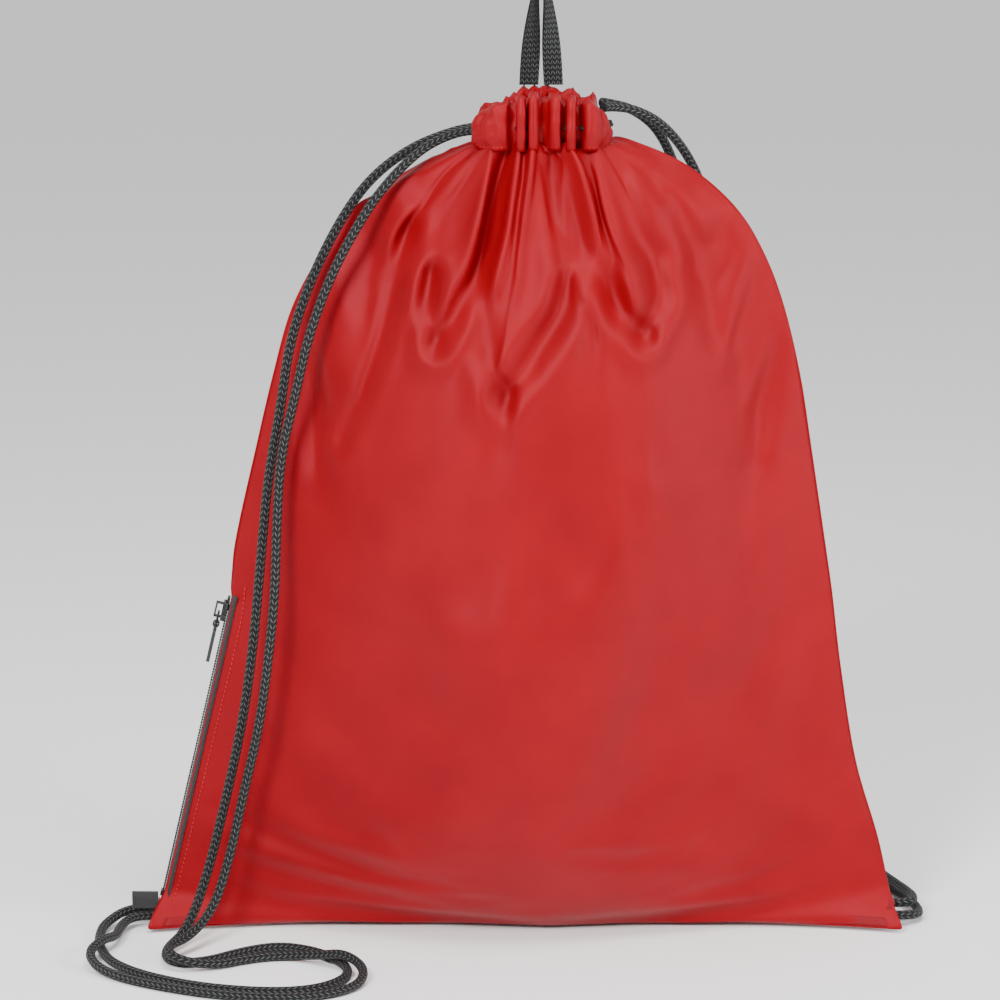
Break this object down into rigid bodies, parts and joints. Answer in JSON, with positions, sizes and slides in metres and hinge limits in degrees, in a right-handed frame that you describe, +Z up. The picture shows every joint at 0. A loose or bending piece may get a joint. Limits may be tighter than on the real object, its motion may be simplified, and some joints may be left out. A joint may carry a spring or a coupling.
{
  "type": "drawstring backpack",
  "caption": "Soft cloth sack with a cord-gathered neck, braided cords as shoulder straps, a side zip and a webbing hang loop.",
  "frame": {"origin": "middle of the base of the standing sack, on the ground", "axes": "+Z up, the front faces -Y, +X to the right seen from the front"},
  "size_m": [0.4453, 0.2981, 0.5015],
  "materials": {
    "red_satin_cloth": "satin woven polyester, softly shiny",
    "seam_binding": "narrow woven tape",
    "braided_cord": "braided polyester with pale flecks",
    "zip_tape": "fine black woven tape",
    "zip_coil": "moulded nylon",
    "zip_metal": "black enamelled die casting",
    "pull_tab": "matt moulded rubbery plastic",
    "webbing": "flat woven webbing with pale flecks",
    "label": "folded woven label, blank",
    "tack_thread": "close bar tack stitching"
  },
  "bodies": {
    "bag": {"bottom_seam_binding": "seam_binding", "front_casing": "red_satin_cloth", "front_panel": "red_satin_cloth", "left_corner_tack": "tack_thread", "left_drawcord": "braided_cord", "left_seam_binding": "seam_binding", "left_strap_cord_inner": "braided_cord", "left_strap_cord_outer": "braided_cord", "rear_casing": "red_satin_cloth", "rear_panel": "red_satin_cloth", "right_corner_tack": "tack_thread", "right_drawcord": "braided_cord", "right_seam_binding": "seam_binding", "right_strap_cord_inner": "braided_cord", "right_strap_cord_outer": "braided_cord", "side_label": "label", "zip_bottom_stop": "zip_metal", "zip_coil_front": "zip_coil", "zip_coil_rear": "zip_coil", "zip_tape_front": "zip_tape", "zip_tape_rear": "zip_tape", "zip_top_stop": "zip_metal"},
    "slider": {"zip_slider": "zip_metal"},
    "ring": {"pull_ring": "zip_metal"},
    "tab": {"pull_tab": "pull_tab"},
    "loop": {"hang_loop": "webbing"}
  },
  "joints": [
    {"name": "zip_slide", "type": "slide", "parent": "bag", "child": "slider", "axis": [-0.229, 0, -0.9734], "range_m": [0, 0.129]},
    {"name": "ring_swing", "type": "hinge", "parent": "slider", "child": "ring", "pos_m": [-0.15592, -0.006, 0.1727], "axis": [0, 1, 0], "range_deg": [0, 110]},
    {"name": "tab_swing", "type": "hinge", "parent": "ring", "child": "tab", "pos_m": [-0.15741, -0.006, 0.16638], "axis": [0, 1, 0], "range_deg": [0, 65]},
    {"name": "loop_flop", "type": "hinge", "parent": "bag", "child": "loop", "pos_m": [0.0145, 0.014, 0.4492], "axis": [1, 0, 0], "range_deg": [-75, 75], "stiffness_Nm_per_rad": 0.01}
  ]
}
